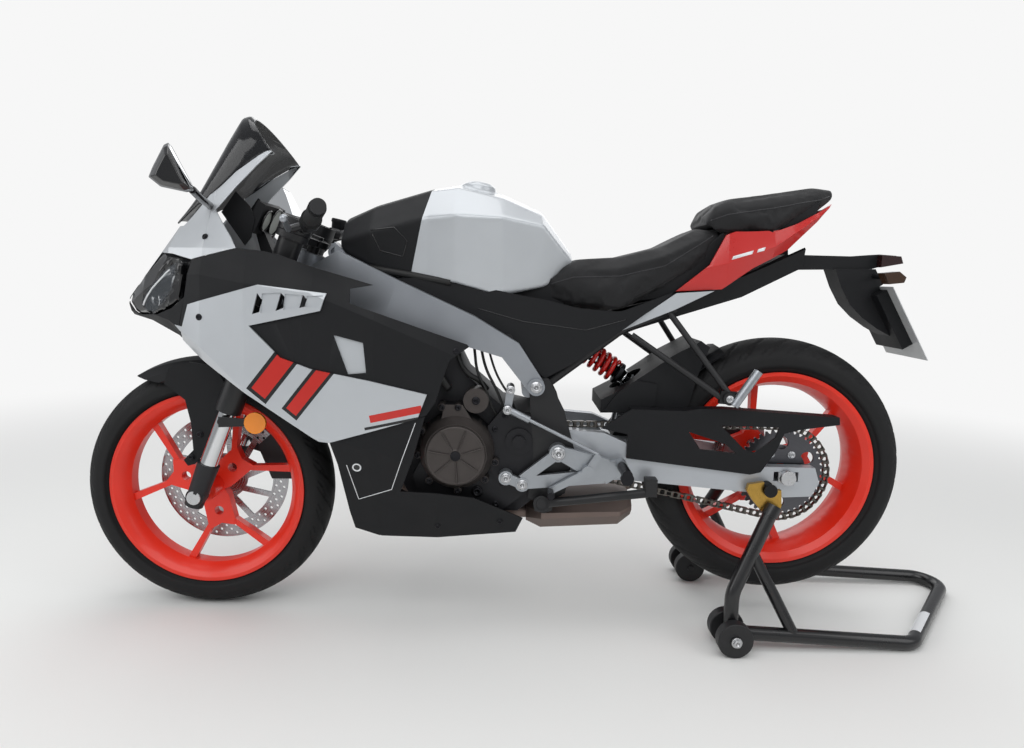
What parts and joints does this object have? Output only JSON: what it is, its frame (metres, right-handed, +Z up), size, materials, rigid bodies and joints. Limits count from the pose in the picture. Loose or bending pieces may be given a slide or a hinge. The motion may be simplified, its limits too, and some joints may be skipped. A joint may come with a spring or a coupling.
{
  "type": "sport bike",
  "caption": "Small sport bike with a full fairing, twin-spar frame, chain drive and cast wheels, held by a rear paddock stand.",
  "frame": {"origin": "on the floor, below the middle of the whole length of bike and stand, in the bike's mid-plane", "axes": "+X to the rear of the bike, -Y to the bike's left side, +Z up"},
  "size_m": [2.1923, 0.76, 1.1589],
  "materials": {
    "tyre_rubber": "matt",
    "hose_rubber": "matt",
    "wheel_orange_red": "gloss",
    "disc_steel": "brushed",
    "sprocket_steel": "satin",
    "axle_steel": "satin",
    "fork_black": "satin",
    "yoke_black": "satin",
    "caliper_dark": "satin",
    "silver_white_paint": "gloss",
    "black_panel": "matt",
    "red_paint": "gloss",
    "smoked_screen": "gloss",
    "lamp_lens": "gloss",
    "seat_vinyl": "matt",
    "frame_silver": "satin",
    "black_steel": "satin",
    "engine_grey": "satin",
    "cover_grey": "satin",
    "radiator_black": "matt",
    "exhaust_steel": "satin",
    "shock_red": "gloss",
    "rearset_aluminium": "satin",
    "plate_white": "satin",
    "stand_black": "gloss",
    "roller_plastic": "matt"
  },
  "bodies": {
    "chassis": {"main_frame": "frame_silver", "seat_subframe": "black_steel", "engine_block": "engine_grey", "engine_covers": "cover_grey", "radiator": "radiator_black", "exhaust": "exhaust_steel", "swingarm": "frame_silver", "rear_axle": "axle_steel", "stand_spools": "black_panel", "shock_absorber": "shock_red", "drive_chain": "sprocket_steel", "rear_caliper": "caliper_dark", "chain_guard": "black_panel", "hugger": "black_panel", "rearsets": "rearset_aluminium", "passenger_pegs": "black_steel", "nose_fairing": "silver_white_paint", "nose_chin": "black_panel", "side_fairings": "black_panel", "fairing_blades": "silver_white_paint", "belly_pan": "black_panel", "windscreen": "smoked_screen", "headlight": "lamp_lens", "mirrors": "black_panel", "instrument_panel": "black_panel", "fuel_tank_cover": "silver_white_paint", "tank_front_cover": "black_panel", "side_covers": "black_panel", "rider_seat": "seat_vinyl", "passenger_seat": "seat_vinyl", "tail_fairing": "red_paint", "undertray": "black_panel", "plate_holder": "black_panel", "number_plate": "plate_white", "rear_lamps": "lamp_lens", "paddock_stand": "stand_black"},
    "steering": {"fork_legs": "fork_black", "fork_yokes": "yoke_black", "handlebars": "yoke_black", "front_mudguard": "black_panel", "front_axle": "axle_steel", "front_caliper": "caliper_dark", "brake_hose": "hose_rubber"},
    "front_wheel": {"front_tyre": "tyre_rubber", "front_rim": "wheel_orange_red", "front_disc": "disc_steel"},
    "rear_wheel": {"rear_tyre": "tyre_rubber", "rear_rim": "wheel_orange_red", "rear_disc": "disc_steel", "rear_sprocket": "sprocket_steel"},
    "side_stand_leg": {"side_stand": "black_steel"},
    "left_rollers": {"stand_rollers_left": "roller_plastic"},
    "right_rollers": {"stand_rollers_right": "roller_plastic"}
  },
  "joints": [
    {"name": "steering_turn", "type": "hinge", "parent": "chassis", "child": "steering", "pos_m": [-0.88733, 0, 0], "axis": [0.3584, 0, 0.9336], "range_deg": [-26, 26]},
    {"name": "front_wheel_spin", "type": "hinge", "parent": "steering", "child": "front_wheel", "pos_m": [-0.80325, 0, 0.2929], "axis": [0, 1, 0], "continuous": true},
    {"name": "rear_wheel_spin", "type": "hinge", "parent": "chassis", "child": "rear_wheel", "pos_m": [0.54401, 0, 0.3789], "axis": [0, 1, 0], "continuous": true},
    {"name": "side_stand_fold", "type": "hinge", "parent": "chassis", "child": "side_stand_leg", "pos_m": [-0.01125, -0.148, 0.308], "axis": [0, 0.957, -0.29], "range_deg": [0, 107]},
    {"name": "left_rollers_spin", "type": "hinge", "parent": "chassis", "child": "left_rollers", "pos_m": [0.41775, -0.198, 0.039], "axis": [0, 1, 0], "continuous": true},
    {"name": "right_rollers_spin", "type": "hinge", "parent": "chassis", "child": "right_rollers", "pos_m": [0.41775, 0.198, 0.039], "axis": [0, 1, 0], "continuous": true}
  ]
}
